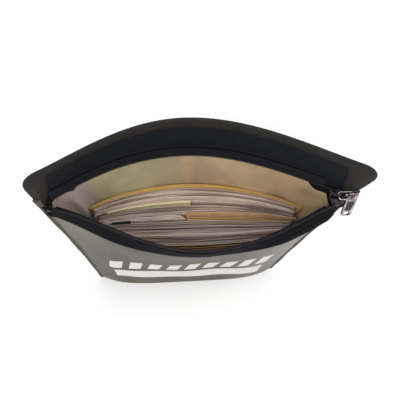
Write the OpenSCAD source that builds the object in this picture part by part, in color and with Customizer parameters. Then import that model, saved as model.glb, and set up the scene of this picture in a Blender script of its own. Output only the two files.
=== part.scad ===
// Cash deposit bag: a stand-up film pouch with webbing bands and a zip mouth, filled with
// envelopes and papers. The origin is midway between the base's corners, +X runs to the open
// end of the zip, +Y to the back, and +Z is up.

/* [Pouch] */
// Half of the base's length, corner to middle
base_half_w = 117.5; // [110:0.5:122]
// Depth of the base in front of its corners
base_front_d = 13; // [11:0.5:16]
// Depth of the base behind its corners
base_back_d = 28; // [22:0.5:30]
// How square the base's ends are
base_squareness = 5; // [4:1:7]
// Half of the width at the rim, inside the side bindings
rim_half_w = 136; // [130:0.5:140]
// Height of the rim at its ends
rim_h = 280; // [270:1:290]
// How far the rim's ends lean back from the base
lean = 26.5; // [22:0.5:30]
// How far the side seams draw in half way up
side_draw = 3; // [0:0.5:5]
// How far the contents swell the upper half of the walls
belly = 8; // [4:0.5:9]
// Thickness of the film walls
wall_t = 1.2; // [1:0.1:1.5]
// Thickness of the base panel
base_t = 1.5; // [1:0.1:2]

/* [Mouth] */
// Height of the zip line at its ends
zip_h = 248; // [240:1:252]
// Half of the zip's length between its ends
zip_half_w = 127; // [125:0.5:128]
// How far the zip line stands in front of the seams
zip_forward = 4; // [3.5:0.5:4]
// How far the front wall bulges from the seams at the zip
front_bulge = 43; // [35:0.5:45]
// How far the back wall bulges from the seams at the zip
back_bulge = 43; // [38:0.5:47]
// How far the rim bulges behind its ends
rim_bulge = 48.5; // [45:0.5:55]
// How far the middle of the rim stands above its ends
rim_crown = 3; // [0:0.5:6]
// How far the front zip line dips at its middle
front_dip = 6; // [4:0.5:8]
// How far the back zip line dips at its middle
back_dip = 3; // [1:0.5:5]
// How far the crest of the back wall lies towards the closed end
crest_shift = 11; // [0:0.5:12]
// Radius of the rim's rounded corners
corner_r = 14; // [10:0.5:18]

/* [Bands] */
// Thickness of the webbing bands
band_t = 1.8; // [1.4:0.1:2.2]
// Height of the front band
front_band_h = 20; // [16:0.5:22]
// Thickness of the folded binding at the rim
binding_t = 3.6; // [3:0.1:4.5]
// Share of the header's height that the binding covers
binding_share = 0.22; // [0.18:0.01:0.3]
// Width of the side bindings
side_binding_w = 4.6; // [3.5:0.1:6]

/* [Zip] */
// Width of the zip tapes
tape_w = 7; // [6:0.5:7]
// Thickness of the zip tapes
tape_t = 0.9; // [0.7:0.1:1]
// Width of each coil
coil_w = 2.8; // [2.4:0.1:3]
// Height of each coil
coil_h = 2.2; // [1.8:0.1:2.4]
// Length of the slider
slider_l = 13; // [12:0.5:14]
// Width of the slider
slider_w = 14; // [13:0.5:14]
// Thickness of each slider plate
plate_t = 1; // [0.8:0.1:1.2]
// Clear height between the slider's plates
slider_gap = 4; // [3.8:0.1:4.2]
// Where the open slider stands along the zip
slider_x = 116; // [115:0.5:116]

/* [Pull] */
// Diameter of the ring's wire
wire_d = 1.4; // [1.2:0.1:1.6]
// Length of the ring between wire centres
ring_l = 13; // [12:0.5:14]
// Width of the ring between wire centres
ring_w = 7; // [6:0.5:7.5]
// Length of the pull tab
tab_l = 27; // [25:0.5:30]
// Width of the pull tab
tab_w = 9.5; // [8:0.5:9.5]
// Thickness of the pull tab
tab_t = 1.6; // [1.4:0.1:1.8]
// How far the hanging tab tilts to the front
tab_tilt = 28; // [24:1:30]

/* [Contents] */
// Height of the tallest envelope
envelope_h = 193; // [180:1:196]
// Share of the front half of the pouch that the contents fill
front_fill = 0.72; // [0.6:0.01:0.8]
// Share of the back half of the pouch that the contents fill
back_fill = 0.92; // [0.8:0.01:0.93]

/* [Front print] */
// Length of the write-on strip
strip_w = 186; // [150:1:190]
// Height of the write-on strip
strip_h = 34; // [24:1:36]
// Height of the write-on strip's middle
strip_z = 59; // [50:1:60]
// Number of slanted bars in the printed row
bar_count = 9; // [5:1:12]
// Height of the printed bars
bar_h = 34; // [20:1:36]
// Height of the printed row's middle
bar_z = 105; // [104:1:112]

/* [Hidden] */

gap = 0.3;            // clearance between pieces of different bodies
columns = 32;         // spans across a wall
rows = 14;            // spans up a wall
zip_y = lean * zip_h / rim_h - zip_forward;
coil_offset = 1.7;    // each coil's centre from the closed zip's middle line
coil_tuck = 3.5;      // keeps the back coil in front of the back wall
zip_share = zip_half_w / seam_x(zip_h);
band_drop = 5;        // front band's top edge below the zip line
header_lift = 4;      // header's bottom edge above the zip line
header_back = 1.8;    // header's front face behind the back wall
header_flare = 3.8;   // how far the header's ends flare
rim_reach = 4.5;      // how much further the rim reaches at the zip's open end
tape_half_x = 105;    // the tapes stop short of the slider
tape_tuck = 0.2;      // the front tape's lower edge behind the film's inner face
film_top = 8;         // film walls end this far below the zip line
floor_z = base_t + gap;
print_t = 0.4;        // thickness of the print on the front panel
print_lift = 0.15;    // the print's flat facets clear the film's curve
print_fall = 0.07;    // how far the print falls to the right, per length
base_fit = 0.985;     // the base panel's outline as a share of the walls' outline
coil_end = 0.965;     // the coils stop short of the stops
eye_l = 6;            // the eye lets the tab swing on the ring's wire
eye_w = 3.4;
eye_y = -1.4;         // the wire hangs near the top of the eye
eye_wall = 1.3;       // metal left above the eye
recess_l = 11;
recess_w = 6;
recess_d = 0.5;
recess_y = -12;
window_w = 5;
window_l = 4.4;
window_y = -21.2;
hinge_x = slider_x + 1;
hinge_z = zip_h + slider_gap / 2 + plate_t + 1.25;
ring_end_x = hinge_x + ring_l;

// Half of the pouch's width at a height
function seam_x(z) = base_half_w + (rim_half_w - base_half_w) * z / rim_h - side_draw * sin(180 * z / rim_h);
// Depth of the seams' plane at a height
function mid_y(z) = lean * z / rim_h;
// The mouth's lens: 1 at the middle, 0 from the zip's ends outwards
function lens(u) = abs(u) < zip_share ? cos(90 * u / zip_share) : 0;
// The back wall is fuller towards the closed end
function full_lens(u) = pow(lens(u), u < 0 ? 0.85 : 1);
// The base's outline: 1 along most of its length, 0 at the corners
function foot(u) = 1 - pow(min(1, abs(u)), base_squareness);
// How far a height has turned from the base's outline into the mouth's lens
function rise(z) = pow(z / zip_h, 3);
function swell(u, z) = belly * sin(180 * pow(min(1, z / zip_h), 2.5)) * cos(90 * min(1, abs(u)));
// The front zip line runs straighter to its ends than the wall below it
function taut(c, u) = pow(c, u < 0 ? 1.45 : 1.15);
function front_draw(u, z) = front_bulge * (lens(u) - taut(lens(u), u)) * pow(z / zip_h, 8);
function front_gap(u, z) = (1 - rise(z)) * base_front_d * foot(u) + rise(z) * front_bulge * lens(u)
    + swell(u, z) - front_draw(u, z);
function back_gap(u, z) =
    (1 - rise(z)) * base_back_d * foot(u) + rise(z) * back_bulge * full_lens(u) + swell(u, z);
// Points on the inner faces of the film walls, which dip towards the mouth as the zip lines do
function front_wall(u, z) = [seam_x(z) * u, mid_y(z) - front_gap(u, z),
    z - front_dip * pow(lens(u), 1.5) * pow(z / zip_h, 3)];
function back_wall(u, z) = [seam_x(z) * u - crest_shift * full_lens(u) * pow(z / zip_h, 2),
    mid_y(z) + back_gap(u, z), z - back_dip * pow(lens(u), 1.5) * pow(z / zip_h, 3)];
// The rim's bow, rounder than the zip's
function bow(u) = pow((sqrt(1.76) - sqrt(u * u + 0.76)) / (sqrt(1.76) - sqrt(0.76)), u < 0 ? 1.1 : 1);
// The header's ends flare out to the side bindings' outer edges
function flare(u) = header_flare * pow(u, 9);
function rim_x(u) = rim_half_w * u + flare(u) + (u > 0 ? rim_reach * pow(u, 9) : 0);
function corner_drop(u) =
    let (end = abs(rim_x(u < 0 ? -1 : 1)), d = max(0, (abs(rim_x(u)) - end) / corner_r + 1))
    corner_r * (1 - sqrt(max(0, 1 - d * d)));
function rim(u) = [rim_x(u) - crest_shift * bow(u), lean + header_back + rim_bulge * bow(u),
    rim_h + rim_crown * bow(u) - corner_drop(u)];
// The back film reaches up to the header, and dips below the zip's line near its ends
function back_film_top(u) = zip_h - film_top + (film_top + header_lift - 0.5) * min(1, 2.5 * lens(u));
function header_foot(u) = back_wall(u, zip_h) + [flare(u), header_back, header_lift];
function header(u, v) = header_foot(u) * (1 - v) + rim(u) * v;
// Centres of the two coils, from end to end
function front_zip(u) = let (c = cos(90 * u))
    [zip_half_w * u, zip_y - coil_offset - (front_bulge - zip_forward) * taut(c, u),
    zip_h - front_dip * pow(c, 1.5)];
function back_zip(u) = let (c = pow(cos(90 * u), u < 0 ? 0.85 : 1))
    [zip_half_w * u - crest_shift * c, zip_y + coil_offset + (back_bulge + zip_forward - coil_tuck) * c,
    zip_h - back_dip * pow(cos(90 * u), 1.5)];
// Where leaf s of the contents lies, from -1 at the front to 1 at the back
function leaf(s, x, z) = let (u = x / seam_x(z), ub = u + crest_shift * full_lens(u) * pow(z / zip_h, 2)
        / seam_x(z))
    [x, mid_y(z) + (s < 0 ? s * front_fill * front_gap(u, z) : s * back_fill * back_gap(ub, z)), z];
function grid(n) = [for (i = [0 : n]) i / n];
function across(n) = [for (i = [0 : n]) 2 * i / n - 1];

// A closed skin between a front and a back grid of points, both in rows from the bottom up
module skin(front, back) {
    r = len(front);
    c = len(front[0]);
    n = r * c;
    points = concat([for (row = front) each row], [for (row = back) each row]);
    plies = [for (i = [0 : r - 2], j = [0 : c - 2]) let (a = i * c + j, b = a + c)
        each [[a, b, b + 1], [a, b + 1, a + 1], [n + a, n + b + 1, n + b], [n + a, n + a + 1, n + b + 1]]];
    ends = [for (i = [0 : r - 2]) let (a = i * c, b = a + c, e = a + c - 1, f = e + c)
        each [[a, n + b, b], [a, n + a, n + b], [e, f, n + f], [e, n + f, n + e]]];
    edges = [for (j = [0 : c - 2]) let (a = j, t = n - c + j)
        each [[a, a + 1, n + a + 1], [a, n + a + 1, n + a], [t, n + t + 1, t + 1], [t, n + t, n + t + 1]]];
    polyhedron(points, concat(plies, ends, edges));
}

// A strip swept through rings of four points: front bottom, front top, back top, back bottom
module strip(rings) {
    skin([[for (r = rings) r[0]], [for (r = rings) r[1]]], [[for (r = rings) r[3]], [for (r = rings) r[2]]]);
}

// A flat plate with round corners, thick along Z
module round_plate(w, l, r, t) {
    linear_extrude(t) {
        square([w - 2 * r, l], center = true);
        square([w, l - 2 * r], center = true);
        for (x = [-1, 1], y = [-1, 1])
            translate([x * (w / 2 - r), y * (l / 2 - r)])
                circle(r, $fn = 48);
    }
}

// A sheet or bundle of the contents between two leaves
module sheets(s0, s1, x0, x1, z0, z1, droop = 0) {
    xs = [for (k = grid(16)) x0 + (x1 - x0) * k];
    zs = [for (k = grid(6)) z0 + (z1 - z0) * k];
    top = function (x, z) z - droop * (z - z0) / (z1 - z0) * pow((x - x0) / (x1 - x0), 2);
    skin([for (z = zs) [for (x = xs) leaf(s0, x, top(x, z))]],
        [for (z = zs) [for (x = xs) leaf(s1, x, top(x, z))]]);
}

// A patch of print on the front panel, leaning right by slant over its height
module front_patch(x0, x1, z0, z1, slant, spans) {
    us = [for (k = grid(spans)) (x0 + (x1 - x0) * k)];
    row = function (z, d) [for (x = us)
        let (xs = x + slant * (z - z0) / (z1 - z0), h = z - print_fall * (xs + strip_w / 2))
        front_wall(xs / seam_x(h), h) - [0, wall_t + print_lift + d, 0]];
    zs = [for (k = grid(4)) z0 + (z1 - z0) * k];
    skin([for (z = zs) row(z, print_t)], [for (z = zs) row(z, 0)]);
}

// Pouch

module base_panel() {
    us = across(columns);
    color([0.33, 0.31, 0.28])
        linear_extrude(base_t)
            polygon(base_fit * concat(
                [for (u = us) [base_half_w * u, -base_front_d * foot(u)]],
                [for (i = [columns - 1 : -1 : 1]) [base_half_w * us[i], base_back_d * foot(us[i])]]));
}

module front_panel() {
    inner = [for (v = grid(rows)) [for (u = across(columns)) front_wall(u, v * (zip_h - film_top))]];
    color([0.55, 0.52, 0.47])
        skin([for (row = inner) [for (p = row) p - [0, wall_t, 0]]], inner);
}

module back_panel() {
    inner = [for (v = grid(rows)) [for (u = across(columns)) back_wall(u, v * back_film_top(u))]];
    color([0.6, 0.54, 0.43])
        skin(inner, [for (row = inner) [for (p = row) p + [0, wall_t, 0]]]);
}

module side_binding(side) {
    half = binding_t / 2;
    zs = [for (v = grid(20)) v * (zip_h + header_lift - 1)];
    inner = [for (z = zs) let (x = side * (seam_x(z) + 0.05)) [x, mid_y(z), z]];
    color([0.3, 0.28, 0.26])
        skin([for (p = inner) let (w = side * side_binding_w)
                [for (q = side > 0 ? [0, 0.8, 1] : [1, 0.8, 0]) p + [w * q, q == 1 ? -half / 2 : -half, 0]]],
            [for (p = inner) let (w = side * side_binding_w)
                [for (q = side > 0 ? [0, 0.8, 1] : [1, 0.8, 0]) p + [w * q, q == 1 ? half / 2 : half, 0]]]);
}

module side_binding_left() { side_binding(-1); }
module side_binding_right() { side_binding(1); }

module write_on_strip() {
    color([0.85, 0.83, 0.8])
        front_patch(-strip_w / 2 - 1, strip_w / 2 - 1, strip_z - strip_h / 2, strip_z + strip_h / 2, 0, 28);
}

module printed_bars() {
    pitch = (strip_w + 12) / bar_count;
    color([0.85, 0.83, 0.8])
        for (i = [0 : bar_count - 1]) {
            x = -strip_w / 2 - 5 + i * pitch;
            front_patch(x, x + pitch * 0.62, bar_z - bar_h / 2, bar_z + bar_h / 2, 5, 2);
        }
}

module bar_tacks() {
    tack = [2, 0.6, 9];
    x = zip_half_w + 4;
    z = zip_h - band_drop - 12;
    y = front_wall(x / seam_x(z), z - tack[2] / 2)[1] - wall_t - 2 * gap - band_t - tack[1] / 2;
    color([0.1, 0.1, 0.11])
        for (side = [-1, 1])
            translate([side * x, y, z])
                cube(tack, center = true);
}

// Zip

module zip_bottom_stop() {
    color([0.6, 0.58, 0.55])
        translate([1.5 - zip_half_w, zip_y, zip_h])
            difference() {
                cube([3, 8, 4], center = true);
                translate([1, 0, 0])
                    cube([3, 6.6, 2.6], center = true);
            }
}

module zip_top_stops() {
    color([0.6, 0.58, 0.55])
        for (side = [-1, 1])
            translate([slider_x + slider_l / 2 + 1.35, zip_y + side * coil_offset, zip_h])
                cube([2.1, 2.6, 3], center = true);
}

module coil(centres) {
    color([0.12, 0.12, 0.14])
        strip([for (p = centres) [p + [0, -coil_w / 2, -coil_h / 2], p + [0, -coil_w / 2, coil_h / 2],
            p + [0, coil_w / 2, coil_h / 2], p + [0, coil_w / 2, -coil_h / 2]]]);
}

module zip_coil_front() { coil([for (u = across(56)) front_zip(u * coil_end)]); }
module zip_coil_back() { coil([for (u = across(56)) back_zip(u * coil_end)]); }

module zip_tape_front() {
    us = [for (u = across(columns)) u * tape_half_x / zip_half_w];
    low = [for (u = us) front_wall(u * zip_share, zip_h - film_top + 1) + [0, tape_tuck, 0]];
    high = [for (u = us) front_zip(u) - [0, tape_t / 2, coil_h / 2 + 0.05]];
    color([0.08, 0.08, 0.1])
        skin([low, high], [[for (p = low) p + [0, tape_t, 0]], [for (p = high) p + [0, tape_t, 0]]]);
}

module zip_tape_back() {
    us = [for (u = across(columns)) u * tape_half_x / zip_half_w];
    low = [for (u = us) back_zip(u) + [0, 0, coil_h / 2 + 0.05]];
    high = [for (u = us) back_zip(u) + [0, 0, tape_w]];
    color([0.08, 0.08, 0.1])
        skin([[for (p = low) p - [0, tape_t, 0]], [for (p = high) p - [0, tape_t, 0]]], [low, high]);
}

// Bands

module front_band() {
    rise_steps = [for (v = grid(4)) zip_h - band_drop - front_band_h * (1 - v)];
    inner = [for (z = rise_steps) [for (u = across(columns)) front_wall(u, z) - [0, wall_t + gap, 0]]];
    color([0.11, 0.11, 0.13])
        skin([for (row = inner) [for (p = row) p - [0, band_t, 0]]], inner);
}

module header_band() {
    front = [for (v = grid(5)) [for (u = across(columns)) header(u, v * (1 - binding_share))]];
    color([0.11, 0.12, 0.14])
        skin(front, [for (row = front) [for (p = row) p + [0, band_t, 0]]]);
}

module rim_binding() {
    proud = (binding_t - band_t) / 2;
    middle = [for (v = grid(2)) [for (u = across(columns)) header(u, 1 - binding_share * (1 - v))]];
    color([0.17, 0.16, 0.16])
        skin([for (row = middle) [for (p = row) p - [0, proud, 0]]],
            [for (row = middle) [for (p = row) p + [0, band_t + proud, 0]]]);
}

// Slider and pull

module slider_body() {
    half_gap = slider_gap / 2;
    flange_w = 1.1;
    flange_l = 3.6;
    color([0.34, 0.33, 0.34])
        translate([slider_x, zip_y, zip_h]) {
            for (z = [-half_gap - plate_t, half_gap])
                translate([0, 0, z])
                    round_plate(slider_l, slider_w, 3, plate_t);
            // wedge that parts the coils
            translate([-slider_l / 2 + 2.2, 0, -half_gap - 0.2])
                cylinder(h = slider_gap + 0.4, r = 1.8, $fn = 48);
            // flanges that close the coils at the tail
            for (side = [-1, 1], z = [-half_gap - 0.1, half_gap - 0.5])
                translate([slider_l / 2 - 3 - flange_l, side * (slider_w - flange_w) / 2 - flange_w / 2, z])
                    cube([flange_l, flange_w, 0.6]);
        }
}

module slider_bridge() {
    foot_z = zip_h + slider_gap / 2 + plate_t;
    color([0.36, 0.35, 0.36])
        translate([slider_x, zip_y, foot_z]) {
            for (x = [-4, 4])
                translate([x, 0, 1.75])
                    cube([1.2, 2.2, 3.5], center = true);
            translate([0, 0, 2.95])
                cube([9.2, 2.2, 1.1], center = true);
        }
}

module pull_ring() {
    r = wire_d / 2;
    bend = 2;
    x = ring_l / 2 - bend;
    y = ring_w / 2 - bend;
    color([0.5, 0.49, 0.49])
        translate([hinge_x + ring_l / 2, zip_y, hinge_z]) {
            for (side = [-1, 1]) {
                translate([side * ring_l / 2, 0, 0])
                    rotate([90, 0, 0])
                        cylinder(h = 2 * y, r = r, center = true, $fn = 32);
                translate([0, side * ring_w / 2, 0])
                    rotate([0, 90, 0])
                        cylinder(h = 2 * x, r = r, center = true, $fn = 32);
            }
            for (a = [0 : 3])
                translate([(a == 0 || a == 3 ? 1 : -1) * x, (a < 2 ? 1 : -1) * y, 0])
                    rotate([0, 0, 90 * a])
                        rotate_extrude(angle = 90, $fn = 48)
                            translate([bend, 0])
                                circle(r, $fn = 32);
        }
}

// Puts its children on the tab: +Y up the tab from the ring's wire, +Z out of its front face
module on_tab() {
    translate([ring_end_x, zip_y, hinge_z])
        rotate([90 - tab_tilt, 0, 0])
            translate([0, 0, -tab_t / 2])
                children();
}

module pull_tab() {
    color([0.5, 0.49, 0.49])
        on_tab()
            difference() {
                translate([0, eye_y + eye_l / 2 + eye_wall - tab_l / 2, 0])
                    round_plate(tab_w, tab_l, 2.6, tab_t);
                translate([0, eye_y, -1])
                    round_plate(eye_w, eye_l, 1.6, tab_t + 2);
                translate([0, recess_y, tab_t - recess_d])
                    round_plate(recess_w, recess_l, 1, recess_d + 1);
                translate([0, window_y, -1])
                    round_plate(window_w, window_l, 1.4, tab_t + 2);
            }
}

module tab_insert() {
    color([0.12, 0.12, 0.13])
        on_tab()
            translate([0, recess_y, tab_t - recess_d])
                round_plate(recess_w, recess_l, 1, 0.3);
}

// Contents

module back_envelope() {
    color([0.72, 0.58, 0.36])
        sheets(0.955, 1, -103, 106, floor_z, envelope_h, 3);
}

module back_envelope_flap() {
    color([0.68, 0.54, 0.33])
        sheets(0.915, 0.932, -101, 103, envelope_h - 52, envelope_h - 2, 3);
}

module paper_stack_back() {
    color([0.78, 0.72, 0.68])
        sheets(0.585, 0.895, -98, 101, floor_z, envelope_h - 3, 8);
}

module deposit_slip() {
    color([0.85, 0.8, 0.62])
        sheets(0.545, 0.575, -88, -6, 60, envelope_h - 8);
}

module paper_stack_middle() {
    color([0.76, 0.69, 0.64])
        sheets(0.35, 0.535, -96, 102, floor_z, envelope_h - 9, 8);
}

module middle_envelope() {
    color([0.74, 0.57, 0.36])
        sheets(0.19, 0.34, -8, 100, floor_z, envelope_h - 11, 10);
}

module money_clip() {
    color([0.08, 0.08, 0.09])
        sheets(0.13, 0.22, -84, -66, envelope_h - 50, envelope_h - 14);
}

module paper_stack_front() {
    color([0.76, 0.69, 0.64])
        sheets(-0.5, 0.12, -92, 96, floor_z, envelope_h - 20, 6);
}

module folded_sheet() {
    color([0.8, 0.74, 0.7])
        sheets(-0.72, -0.51, -78, 90, floor_z, envelope_h - 30, 5);
}

module front_envelope() {
    color([0.72, 0.56, 0.34])
        sheets(-1, -0.73, -70, 84, floor_z, envelope_h - 36, 4);
}

base_panel();
front_panel();
back_panel();
side_binding_left();
side_binding_right();
write_on_strip();
printed_bars();
bar_tacks();
zip_bottom_stop();
zip_top_stops();
front_band();
zip_tape_front();
zip_coil_front();
header_band();
rim_binding();
zip_tape_back();
zip_coil_back();
slider_body();
slider_bridge();
pull_ring();
pull_tab();
tab_insert();
back_envelope();
back_envelope_flap();
paper_stack_back();
deposit_slip();
paper_stack_middle();
middle_envelope();
money_clip();
paper_stack_front();
folded_sheet();
front_envelope();
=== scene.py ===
import math

import bmesh
import bpy
import numpy as np
from mathutils import Matrix, Vector


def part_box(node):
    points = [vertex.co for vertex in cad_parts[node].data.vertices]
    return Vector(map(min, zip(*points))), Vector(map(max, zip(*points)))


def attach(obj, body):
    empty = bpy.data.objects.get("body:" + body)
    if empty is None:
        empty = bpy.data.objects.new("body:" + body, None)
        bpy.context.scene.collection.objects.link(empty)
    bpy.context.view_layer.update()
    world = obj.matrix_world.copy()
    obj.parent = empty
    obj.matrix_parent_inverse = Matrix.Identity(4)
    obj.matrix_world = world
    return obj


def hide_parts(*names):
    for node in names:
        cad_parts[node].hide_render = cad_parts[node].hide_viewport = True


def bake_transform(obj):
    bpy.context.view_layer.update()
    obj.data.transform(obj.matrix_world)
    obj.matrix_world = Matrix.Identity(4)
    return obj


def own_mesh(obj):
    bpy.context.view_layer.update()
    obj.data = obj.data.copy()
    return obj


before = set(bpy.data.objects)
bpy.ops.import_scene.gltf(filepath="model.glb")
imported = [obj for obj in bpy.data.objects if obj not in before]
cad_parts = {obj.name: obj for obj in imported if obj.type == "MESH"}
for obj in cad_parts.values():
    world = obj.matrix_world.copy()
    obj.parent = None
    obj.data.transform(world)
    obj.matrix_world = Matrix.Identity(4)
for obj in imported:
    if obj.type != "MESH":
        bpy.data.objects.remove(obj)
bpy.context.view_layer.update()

dice = np.random.default_rng(11)
print("frame loaded")


# shape of the pouch, in metres; the walls follow the same rules as the CAD panels

pouch = {"baseHalf": 0.1175, "baseFront": 0.013, "baseBack": 0.028, "squareness": 5,
         "rimHalf": 0.136, "rimHeight": 0.280, "lean": 0.0265, "sideDraw": 0.003, "belly": 0.008}
mouth = {"zipHeight": 0.248, "zipHalf": 0.127, "zipForward": 0.004, "frontBulge": 0.043,
         "backBulge": 0.043, "rimBulge": 0.0485, "rimCrown": 0.003, "frontDip": 0.006, "backDip": 0.003,
         "crestShift": 0.011, "cornerRadius": 0.014, "coilOffset": 0.0017, "coilTuck": 0.0035,
         "headerLift": 0.004, "headerBack": 0.0018, "flare": 0.0038, "rimReach": 0.0045}


def seamX(z):  # half width: a straight taper less a half sine
    share = z / pouch["rimHeight"]
    taper = pouch["baseHalf"] + (pouch["rimHalf"] - pouch["baseHalf"]) * share
    return taper - pouch["sideDraw"] * np.sin(np.pi * share)


def midY(z):  # depth of the seams' plane
    return pouch["lean"] * z / pouch["rimHeight"]


zipShare = mouth["zipHalf"] / seamX(mouth["zipHeight"])
zipY = midY(mouth["zipHeight"]) - mouth["zipForward"]


def lens(u):  # quarter cosine each way, 0 beyond the zip's ends
    return np.where(np.abs(u) < zipShare, np.cos(np.clip(u / zipShare, -1, 1) * np.pi / 2), 0).clip(0)


def fullLens(u):  # the lens, fuller on the closed side
    return np.power(lens(u), np.where(np.asarray(u) < 0, 0.85, 1.0))


def foot(u):  # the base's squarish outline
    return 1 - np.minimum(1, np.abs(u)) ** pouch["squareness"]


def rise(z):
    return (np.maximum(z, 0) / mouth["zipHeight"]) ** 3


def taut(c, u):  # the front zip line runs straighter to its ends
    return np.power(c, np.where(np.asarray(u) < 0, 1.45, 1.15))


def frontDraw(u, z):  # the top of the front wall drawn in to the zip line
    return mouth["frontBulge"] * (lens(u) - taut(lens(u), u)) * (z / mouth["zipHeight"]) ** 8


def swell(u, z):
    up = np.clip(z / mouth["zipHeight"], 0, 1) ** 2.5
    return pouch["belly"] * np.sin(np.pi * up) * np.cos(np.pi / 2 * np.minimum(1, np.abs(u)))


def gapTo(u, z, depth, bulge, shape):  # base outline fading into the mouth's lens, plus the belly
    return (1 - rise(z)) * depth * foot(u) + rise(z) * bulge * shape(u) + swell(u, z)


def frontGap(u, z):
    return gapTo(u, z, pouch["baseFront"], mouth["frontBulge"], lens) - frontDraw(u, z)


def backGap(u, z):
    return gapTo(u, z, pouch["baseBack"], mouth["backBulge"], fullLens)


def place(x, y, z):
    return np.stack(np.broadcast_arrays(x, y, z), axis=-1).astype(float)


def dipped(u, z, dip):
    return z - dip * lens(u) ** 1.5 * (z / mouth["zipHeight"]) ** 3


def frontWall(u, z):  # across the width by u, from -1 to 1, and up by z
    return place(seamX(z) * u, midY(z) - frontGap(u, z), dipped(u, z, mouth["frontDip"]))


def backWall(u, z):
    shift = mouth["crestShift"] * fullLens(u) * (z / mouth["zipHeight"]) ** 2
    return place(seamX(z) * u - shift, midY(z) + backGap(u, z), dipped(u, z, mouth["backDip"]))


def bow(u):  # rounder than the lens: a hyperbola from 1 at the middle to 0 at the ends
    high = (math.sqrt(1.76) - np.sqrt(u * u + 0.76)) / (math.sqrt(1.76) - math.sqrt(0.76))
    return high.clip(0) ** np.where(u < 0, 1.1, 1.0)


def flare(u):  # the header's ends reach the side bindings' outer edges
    return mouth["flare"] * u ** 9


def rim(u):
    x, r = pouch["rimHalf"] * u + flare(u) + mouth["rimReach"] * np.maximum(u, 0) ** 9, mouth["cornerRadius"]
    end = pouch["rimHalf"] + mouth["flare"] + np.where(u < 0, 0, mouth["rimReach"])
    d = np.clip((np.abs(x) - end) / r + 1, 0, 1)
    drop = r * (1 - np.sqrt(1 - d * d))
    return place(x - mouth["crestShift"] * bow(u),
                 pouch["lean"] + mouth["headerBack"] + mouth["rimBulge"] * bow(u),
                 pouch["rimHeight"] + mouth["rimCrown"] * bow(u) - drop)


def header(u, v):  # straight rulings from the zip line, v = 0, to the rim, v = 1
    low = backWall(u, mouth["zipHeight"]) + [0, mouth["headerBack"], mouth["headerLift"]]
    low[..., 0] += flare(u)
    return low * (1 - v)[..., None] + rim(u) * v[..., None]


def frontZip(u):
    c = np.cos(np.pi / 2 * np.clip(u, -1, 1)).clip(0)
    return place(mouth["zipHalf"] * u,
                 zipY - mouth["coilOffset"] - (mouth["frontBulge"] - mouth["zipForward"]) * taut(c, u),
                 mouth["zipHeight"] - mouth["frontDip"] * c ** 1.5)


def backZip(u):
    c = np.cos(np.pi / 2 * np.clip(u, -1, 1)).clip(0) ** np.where(np.asarray(u) < 0, 0.85, 1.0)
    reach = mouth["backBulge"] + mouth["zipForward"] - mouth["coilTuck"]
    return place(mouth["zipHalf"] * u - mouth["crestShift"] * c, zipY + mouth["coilOffset"] + reach * c,
                 mouth["zipHeight"] - mouth["backDip"] * c ** 1.5)


fill = {"front": 0.72, "back": 0.92}


def leaf(s, x, z):  # layer s of the contents, from -1 at the front wall to 1 at the back
    u = x / seamX(z)
    shift = mouth["crestShift"] * fullLens(u) * (z / mouth["zipHeight"]) ** 2 / seamX(z)
    front = fill["front"] * frontGap(u, z)
    back = fill["back"] * backGap(u + shift, z)
    return place(x, midY(z) + np.where(s < 0, s * front, s * back), z)


# mesh tools

def smoothstep(a, b, x):
    t = np.clip((x - a) / (b - a), 0, 1)
    return t * t * (3 - 2 * t)


def normalsOf(points):  # row direction cross column direction of a grid, at length one
    n = np.cross(np.gradient(points, axis=1), np.gradient(points, axis=0))
    return n / np.maximum(np.linalg.norm(n, axis=-1, keepdims=True), 1e-12)


def addMesh(name, points, faces, uv=None, tone=None):
    mesh = bpy.data.meshes.new(name)
    mesh.from_pydata(np.asarray(points).reshape(-1, 3).tolist(), [],
                     [f for block in faces for f in np.asarray(block).tolist()])
    if uv is not None:
        corners = np.zeros(len(mesh.loops), np.int32)
        mesh.loops.foreach_get("vertex_index", corners)
        layer = mesh.uv_layers.new(name="UVMap")
        layer.uv.foreach_set("vector", np.asarray(uv).reshape(-1, 2)[corners].astype(np.float32).ravel())
    if tone is not None:
        layer = mesh.attributes.new("tone", "FLOAT", "POINT")
        layer.data.foreach_set("value", np.asarray(tone).astype(np.float32).ravel())
    mesh.polygons.foreach_set("use_smooth", np.ones(len(mesh.polygons), bool))
    mesh.set_sharp_from_angle(angle=math.radians(50))
    piece = bpy.data.objects.new(name, mesh)
    bpy.context.scene.collection.objects.link(piece)
    return piece


def quads(r, c, start=0, flip=False, closed=False):  # faces of an r by c grid of points
    i, j = np.meshgrid(np.arange(r - 1), np.arange(c if closed else c - 1), indexing="ij")
    k = (j + 1) % c
    f = np.stack([i * c + j, i * c + k, (i + 1) * c + k, (i + 1) * c + j], axis=-1).reshape(-1, 4) + start
    return f[:, ::-1] if flip else f


def shellFaces(r, c, start=0):  # two plies and the four edges between them
    n = r * c
    i, j = np.arange(r - 1), np.arange(c - 1)
    top = (r - 1) * c
    low = np.stack([j + 1, j, j + n, j + 1 + n], -1)
    high = np.stack([top + j, top + j + 1, top + j + 1 + n, top + j + n], -1)
    left = np.stack([i * c, (i + 1) * c, (i + 1) * c + n, i * c + n], -1)
    right = np.stack([(i + 2) * c - 1, (i + 1) * c - 1, (i + 1) * c - 1 + n, (i + 2) * c - 1 + n], -1)
    plies = [quads(r, c, start), quads(r, c, start + n, flip=True)]
    return plies + [f + start for f in (low, high, left, right)]


def gridUv(points):  # metres along the middle row and the middle column
    r, c = points.shape[:2]
    along = np.linalg.norm(np.diff(points[r // 2], axis=0), axis=1)
    up = np.linalg.norm(np.diff(points[:, c // 2], axis=0), axis=1)
    u = np.concatenate([[0], np.cumsum(along)])
    v = np.concatenate([[0], np.cumsum(up)])
    return np.stack(np.meshgrid(u - u[-1] / 2, v), axis=-1)


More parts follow.
